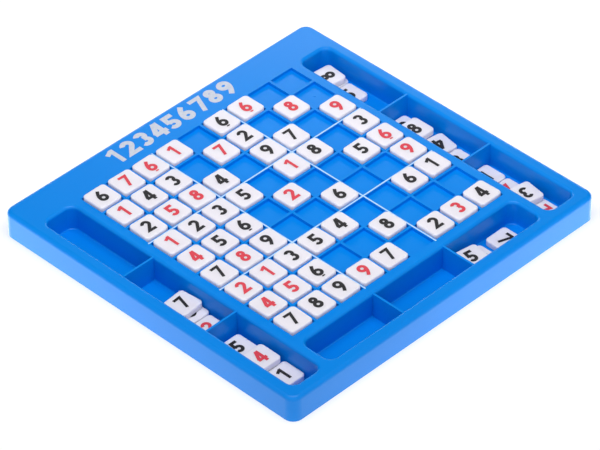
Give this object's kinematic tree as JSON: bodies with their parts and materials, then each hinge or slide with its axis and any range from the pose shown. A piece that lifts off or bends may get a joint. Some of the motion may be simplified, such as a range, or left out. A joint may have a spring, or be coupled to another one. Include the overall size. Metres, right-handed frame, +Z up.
{
  "type": "sudoku board",
  "caption": "Flat moulded sudoku board with a square grid of shallow pockets, loose number tiles that lift out, and divided trays along both sides and the front for spare tiles.",
  "frame": {"origin": "on the table, under the middle of the board's footprint", "axes": "+X along the rows to the player's right, +Y away from the player towards the bare head strip, +Z up"},
  "size_m": [0.2572, 0.2442, 0.0201],
  "materials": {
    "board": "glossy moulded",
    "tile": "glossy moulded",
    "black_print": "printed",
    "red_print": "printed",
    "white_print": "printed",
    "silver_print": "printed"
  },
  "bodies": {
    "board": {"board": "board"},
    "tile_r1_c1": {"tile_r1_c1": "tile"},
    "tile_r1_c2": {"tile_r1_c2": "tile"},
    "tile_r1_c3": {"tile_r1_c3": "tile"},
    "tile_r1_c4": {"tile_r1_c4": "tile"},
    "tile_r1_c6": {"tile_r1_c6": "tile"},
    "tile_r1_c7": {"tile_r1_c7": "tile"},
    "tile_r2_c1": {"tile_r2_c1": "tile"},
    "tile_r2_c2": {"tile_r2_c2": "tile"},
    "tile_r2_c3": {"tile_r2_c3": "tile"},
    "tile_r2_c5": {"tile_r2_c5": "tile"},
    "tile_r2_c6": {"tile_r2_c6": "tile"},
    "tile_r2_c8": {"tile_r2_c8": "tile"},
    "tile_r3_c1": {"tile_r3_c1": "tile"},
    "tile_r3_c2": {"tile_r3_c2": "tile"},
    "tile_r3_c3": {"tile_r3_c3": "tile"},
    "tile_r3_c4": {"tile_r3_c4": "tile"},
    "tile_r3_c6": {"tile_r3_c6": "tile"},
    "tile_r3_c7": {"tile_r3_c7": "tile"},
    "tile_r3_c9": {"tile_r3_c9": "tile"},
    "tile_r4_c1": {"tile_r4_c1": "tile"},
    "tile_r4_c2": {"tile_r4_c2": "tile"},
    "tile_r4_c3": {"tile_r4_c3": "tile"},
    "tile_r4_c4": {"tile_r4_c4": "tile"},
    "tile_r4_c6": {"tile_r4_c6": "tile"},
    "tile_r4_c7": {"tile_r4_c7": "tile"},
    "tile_r4_c9": {"tile_r4_c9": "tile"},
    "tile_r5_c1": {"tile_r5_c1": "tile"},
    "tile_r5_c2": {"tile_r5_c2": "tile"},
    "tile_r5_c3": {"tile_r5_c3": "tile"},
    "tile_r5_c5": {"tile_r5_c5": "tile"},
    "tile_r5_c8": {"tile_r5_c8": "tile"},
    "tile_r5_c9": {"tile_r5_c9": "tile"},
    "tile_r6_c1": {"tile_r6_c1": "tile"},
    "tile_r6_c2": {"tile_r6_c2": "tile"},
    "tile_r6_c3": {"tile_r6_c3": "tile"},
    "tile_r6_c6": {"tile_r6_c6": "tile"},
    "tile_r6_c9": {"tile_r6_c9": "tile"},
    "tile_r7_c1": {"tile_r7_c1": "tile"},
    "tile_r7_c2": {"tile_r7_c2": "tile"},
    "tile_r7_c3": {"tile_r7_c3": "tile"},
    "tile_r7_c4": {"tile_r7_c4": "tile"},
    "tile_r7_c5": {"tile_r7_c5": "tile"},
    "tile_r7_c8": {"tile_r7_c8": "tile"},
    "tile_r7_c9": {"tile_r7_c9": "tile"},
    "tile_r8_c1": {"tile_r8_c1": "tile"},
    "tile_r8_c2": {"tile_r8_c2": "tile"},
    "tile_r8_c3": {"tile_r8_c3": "tile"},
    "tile_r8_c6": {"tile_r8_c6": "tile"},
    "tile_r9_c1": {"tile_r9_c1": "tile"},
    "tile_r9_c2": {"tile_r9_c2": "tile"},
    "tile_r9_c3": {"tile_r9_c3": "tile"},
    "tile_r9_c4": {"tile_r9_c4": "tile"},
    "tile_r9_c5": {"tile_r9_c5": "tile"},
    "tile_r9_c7": {"tile_r9_c7": "tile"},
    "tile_r9_c8": {"tile_r9_c8": "tile"},
    "tile_r9_c9": {"tile_r9_c9": "tile"},
    "left_tray_tiles": {"left_tray_tiles": "tile"},
    "front_tray_tiles": {"front_tray_tiles": "tile"},
    "right_tray_tiles": {"right_tray_tiles": "tile"}
  },
  "joints": [
    {"name": "tile_r1_c1_lift", "type": "slide", "parent": "board", "child": "tile_r1_c1", "axis": [0, 0, 1], "range_m": [0, 0.03]},
    {"name": "tile_r1_c2_lift", "type": "slide", "parent": "board", "child": "tile_r1_c2", "axis": [0, 0, 1], "range_m": [0, 0.03]},
    {"name": "tile_r1_c3_lift", "type": "slide", "parent": "board", "child": "tile_r1_c3", "axis": [0, 0, 1], "range_m": [0, 0.03]},
    {"name": "tile_r1_c4_lift", "type": "slide", "parent": "board", "child": "tile_r1_c4", "axis": [0, 0, 1], "range_m": [0, 0.03]},
    {"name": "tile_r1_c6_lift", "type": "slide", "parent": "board", "child": "tile_r1_c6", "axis": [0, 0, 1], "range_m": [0, 0.03]},
    {"name": "tile_r1_c7_lift", "type": "slide", "parent": "board", "child": "tile_r1_c7", "axis": [0, 0, 1], "range_m": [0, 0.03]},
    {"name": "tile_r2_c1_lift", "type": "slide", "parent": "board", "child": "tile_r2_c1", "axis": [0, 0, 1], "range_m": [0, 0.03]},
    {"name": "tile_r2_c2_lift", "type": "slide", "parent": "board", "child": "tile_r2_c2", "axis": [0, 0, 1], "range_m": [0, 0.03]},
    {"name": "tile_r2_c3_lift", "type": "slide", "parent": "board", "child": "tile_r2_c3", "axis": [0, 0, 1], "range_m": [0, 0.03]},
    {"name": "tile_r2_c5_lift", "type": "slide", "parent": "board", "child": "tile_r2_c5", "axis": [0, 0, 1], "range_m": [0, 0.03]},
    {"name": "tile_r2_c6_lift", "type": "slide", "parent": "board", "child": "tile_r2_c6", "axis": [0, 0, 1], "range_m": [0, 0.03]},
    {"name": "tile_r2_c8_lift", "type": "slide", "parent": "board", "child": "tile_r2_c8", "axis": [0, 0, 1], "range_m": [0, 0.03]},
    {"name": "tile_r3_c1_lift", "type": "slide", "parent": "board", "child": "tile_r3_c1", "axis": [0, 0, 1], "range_m": [0, 0.03]},
    {"name": "tile_r3_c2_lift", "type": "slide", "parent": "board", "child": "tile_r3_c2", "axis": [0, 0, 1], "range_m": [0, 0.03]},
    {"name": "tile_r3_c3_lift", "type": "slide", "parent": "board", "child": "tile_r3_c3", "axis": [0, 0, 1], "range_m": [0, 0.03]},
    {"name": "tile_r3_c4_lift", "type": "slide", "parent": "board", "child": "tile_r3_c4", "axis": [0, 0, 1], "range_m": [0, 0.03]},
    {"name": "tile_r3_c6_lift", "type": "slide", "parent": "board", "child": "tile_r3_c6", "axis": [0, 0, 1], "range_m": [0, 0.03]},
    {"name": "tile_r3_c7_lift", "type": "slide", "parent": "board", "child": "tile_r3_c7", "axis": [0, 0, 1], "range_m": [0, 0.03]},
    {"name": "tile_r3_c9_lift", "type": "slide", "parent": "board", "child": "tile_r3_c9", "axis": [0, 0, 1], "range_m": [0, 0.03]},
    {"name": "tile_r4_c1_lift", "type": "slide", "parent": "board", "child": "tile_r4_c1", "axis": [0, 0, 1], "range_m": [0, 0.03]},
    {"name": "tile_r4_c2_lift", "type": "slide", "parent": "board", "child": "tile_r4_c2", "axis": [0, 0, 1], "range_m": [0, 0.03]},
    {"name": "tile_r4_c3_lift", "type": "slide", "parent": "board", "child": "tile_r4_c3", "axis": [0, 0, 1], "range_m": [0, 0.03]},
    {"name": "tile_r4_c4_lift", "type": "slide", "parent": "board", "child": "tile_r4_c4", "axis": [0, 0, 1], "range_m": [0, 0.03]},
    {"name": "tile_r4_c6_lift", "type": "slide", "parent": "board", "child": "tile_r4_c6", "axis": [0, 0, 1], "range_m": [0, 0.03]},
    {"name": "tile_r4_c7_lift", "type": "slide", "parent": "board", "child": "tile_r4_c7", "axis": [0, 0, 1], "range_m": [0, 0.03]},
    {"name": "tile_r4_c9_lift", "type": "slide", "parent": "board", "child": "tile_r4_c9", "axis": [0, 0, 1], "range_m": [0, 0.03]},
    {"name": "tile_r5_c1_lift", "type": "slide", "parent": "board", "child": "tile_r5_c1", "axis": [0, 0, 1], "range_m": [0, 0.03]},
    {"name": "tile_r5_c2_lift", "type": "slide", "parent": "board", "child": "tile_r5_c2", "axis": [0, 0, 1], "range_m": [0, 0.03]},
    {"name": "tile_r5_c3_lift", "type": "slide", "parent": "board", "child": "tile_r5_c3", "axis": [0, 0, 1], "range_m": [0, 0.03]},
    {"name": "tile_r5_c5_lift", "type": "slide", "parent": "board", "child": "tile_r5_c5", "axis": [0, 0, 1], "range_m": [0, 0.03]},
    {"name": "tile_r5_c8_lift", "type": "slide", "parent": "board", "child": "tile_r5_c8", "axis": [0, 0, 1], "range_m": [0, 0.03]},
    {"name": "tile_r5_c9_lift", "type": "slide", "parent": "board", "child": "tile_r5_c9", "axis": [0, 0, 1], "range_m": [0, 0.03]},
    {"name": "tile_r6_c1_lift", "type": "slide", "parent": "board", "child": "tile_r6_c1", "axis": [0, 0, 1], "range_m": [0, 0.03]},
    {"name": "tile_r6_c2_lift", "type": "slide", "parent": "board", "child": "tile_r6_c2", "axis": [0, 0, 1], "range_m": [0, 0.03]},
    {"name": "tile_r6_c3_lift", "type": "slide", "parent": "board", "child": "tile_r6_c3", "axis": [0, 0, 1], "range_m": [0, 0.03]},
    {"name": "tile_r6_c6_lift", "type": "slide", "parent": "board", "child": "tile_r6_c6", "axis": [0, 0, 1], "range_m": [0, 0.03]},
    {"name": "tile_r6_c9_lift", "type": "slide", "parent": "board", "child": "tile_r6_c9", "axis": [0, 0, 1], "range_m": [0, 0.03]},
    {"name": "tile_r7_c1_lift", "type": "slide", "parent": "board", "child": "tile_r7_c1", "axis": [0, 0, 1], "range_m": [0, 0.03]},
    {"name": "tile_r7_c2_lift", "type": "slide", "parent": "board", "child": "tile_r7_c2", "axis": [0, 0, 1], "range_m": [0, 0.03]},
    {"name": "tile_r7_c3_lift", "type": "slide", "parent": "board", "child": "tile_r7_c3", "axis": [0, 0, 1], "range_m": [0, 0.03]},
    {"name": "tile_r7_c4_lift", "type": "slide", "parent": "board", "child": "tile_r7_c4", "axis": [0, 0, 1], "range_m": [0, 0.03]},
    {"name": "tile_r7_c5_lift", "type": "slide", "parent": "board", "child": "tile_r7_c5", "axis": [0, 0, 1], "range_m": [0, 0.03]},
    {"name": "tile_r7_c8_lift", "type": "slide", "parent": "board", "child": "tile_r7_c8", "axis": [0, 0, 1], "range_m": [0, 0.03]},
    {"name": "tile_r7_c9_lift", "type": "slide", "parent": "board", "child": "tile_r7_c9", "axis": [0, 0, 1], "range_m": [0, 0.03]},
    {"name": "tile_r8_c1_lift", "type": "slide", "parent": "board", "child": "tile_r8_c1", "axis": [0, 0, 1], "range_m": [0, 0.03]},
    {"name": "tile_r8_c2_lift", "type": "slide", "parent": "board", "child": "tile_r8_c2", "axis": [0, 0, 1], "range_m": [0, 0.03]},
    {"name": "tile_r8_c3_lift", "type": "slide", "parent": "board", "child": "tile_r8_c3", "axis": [0, 0, 1], "range_m": [0, 0.03]},
    {"name": "tile_r8_c6_lift", "type": "slide", "parent": "board", "child": "tile_r8_c6", "axis": [0, 0, 1], "range_m": [0, 0.03]},
    {"name": "tile_r9_c1_lift", "type": "slide", "parent": "board", "child": "tile_r9_c1", "axis": [0, 0, 1], "range_m": [0, 0.03]},
    {"name": "tile_r9_c2_lift", "type": "slide", "parent": "board", "child": "tile_r9_c2", "axis": [0, 0, 1], "range_m": [0, 0.03]},
    {"name": "tile_r9_c3_lift", "type": "slide", "parent": "board", "child": "tile_r9_c3", "axis": [0, 0, 1], "range_m": [0, 0.03]},
    {"name": "tile_r9_c4_lift", "type": "slide", "parent": "board", "child": "tile_r9_c4", "axis": [0, 0, 1], "range_m": [0, 0.03]},
    {"name": "tile_r9_c5_lift", "type": "slide", "parent": "board", "child": "tile_r9_c5", "axis": [0, 0, 1], "range_m": [0, 0.03]},
    {"name": "tile_r9_c7_lift", "type": "slide", "parent": "board", "child": "tile_r9_c7", "axis": [0, 0, 1], "range_m": [0, 0.03]},
    {"name": "tile_r9_c8_lift", "type": "slide", "parent": "board", "child": "tile_r9_c8", "axis": [0, 0, 1], "range_m": [0, 0.03]},
    {"name": "tile_r9_c9_lift", "type": "slide", "parent": "board", "child": "tile_r9_c9", "axis": [0, 0, 1], "range_m": [0, 0.03]},
    {"name": "left_tray_tiles_lift", "type": "slide", "parent": "board", "child": "left_tray_tiles", "axis": [0, 0, 1], "range_m": [0, 0.04]},
    {"name": "front_tray_tiles_lift", "type": "slide", "parent": "board", "child": "front_tray_tiles", "axis": [0, 0, 1], "range_m": [0, 0.04]},
    {"name": "right_tray_tiles_lift", "type": "slide", "parent": "board", "child": "right_tray_tiles", "axis": [0, 0, 1], "range_m": [0, 0.04]}
  ]
}
